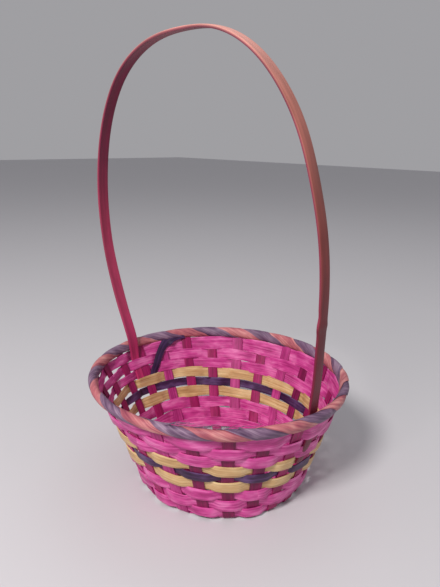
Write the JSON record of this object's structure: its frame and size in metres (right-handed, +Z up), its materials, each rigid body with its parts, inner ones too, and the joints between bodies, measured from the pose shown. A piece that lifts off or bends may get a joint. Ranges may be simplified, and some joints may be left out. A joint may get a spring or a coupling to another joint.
{
  "type": "easter basket",
  "caption": "Round open basket of dyed woven bamboo strips with a bound rim and one tall fixed hoop handle.",
  "frame": {"origin": "middle of the outer box, on the surface the basket stands on; the rim's centre is 8.8 mm from it towards +X, because the handle leans towards -X, and the base's centre lies another 5.8 mm towards +X and 1.2 mm towards +Y", "axes": "+Z up; the handle's two ends lie along X, the front right end at +X; the handle leans 5 degrees towards -Y"},
  "size_m": [0.2562, 0.2388, 0.3943],
  "materials": {
    "pink_bamboo": "dyed split bamboo, satin",
    "magenta_bamboo": "dyed split bamboo, satin",
    "natural_bamboo": "undyed split bamboo, satin",
    "purple_bamboo": "dyed split bamboo, satin",
    "coral_bamboo": "dyed thin bamboo binding, matt",
    "plum_bamboo": "dyed thin bamboo binding, matt",
    "handle_bamboo": "dyed bent bamboo, satin"
  },
  "bodies": {
    "root": {"stake_strip_01": "magenta_bamboo", "stake_strip_02": "magenta_bamboo", "stake_strip_03": "magenta_bamboo", "stake_strip_04": "magenta_bamboo", "stake_strip_05": "magenta_bamboo", "stake_strip_06": "magenta_bamboo", "stake_strip_07": "magenta_bamboo", "stake_strip_08": "magenta_bamboo", "stake_strip_09": "magenta_bamboo", "stake_strip_10": "magenta_bamboo", "stake_strip_11": "magenta_bamboo", "stake_strip_12": "magenta_bamboo", "base_weaver_1": "pink_bamboo", "base_weaver_2": "pink_bamboo", "base_weaver_3": "pink_bamboo", "weaver_01_pink": "pink_bamboo", "weaver_02_pink": "pink_bamboo", "weaver_03_pink": "pink_bamboo", "weaver_04_natural": "natural_bamboo", "weaver_05_purple": "purple_bamboo", "weaver_06_natural": "natural_bamboo", "weaver_07_pink": "pink_bamboo", "weaver_08_pink": "pink_bamboo", "weaver_09_pink": "pink_bamboo", "rim_hoop_outer": "coral_bamboo", "rim_hoop_inner": "coral_bamboo", "rim_wrap_coral": "coral_bamboo", "rim_wrap_plum": "plum_bamboo", "rim_wrap_tail": "purple_bamboo", "handle_hoop": "handle_bamboo"}
  },
  "joints": []
}
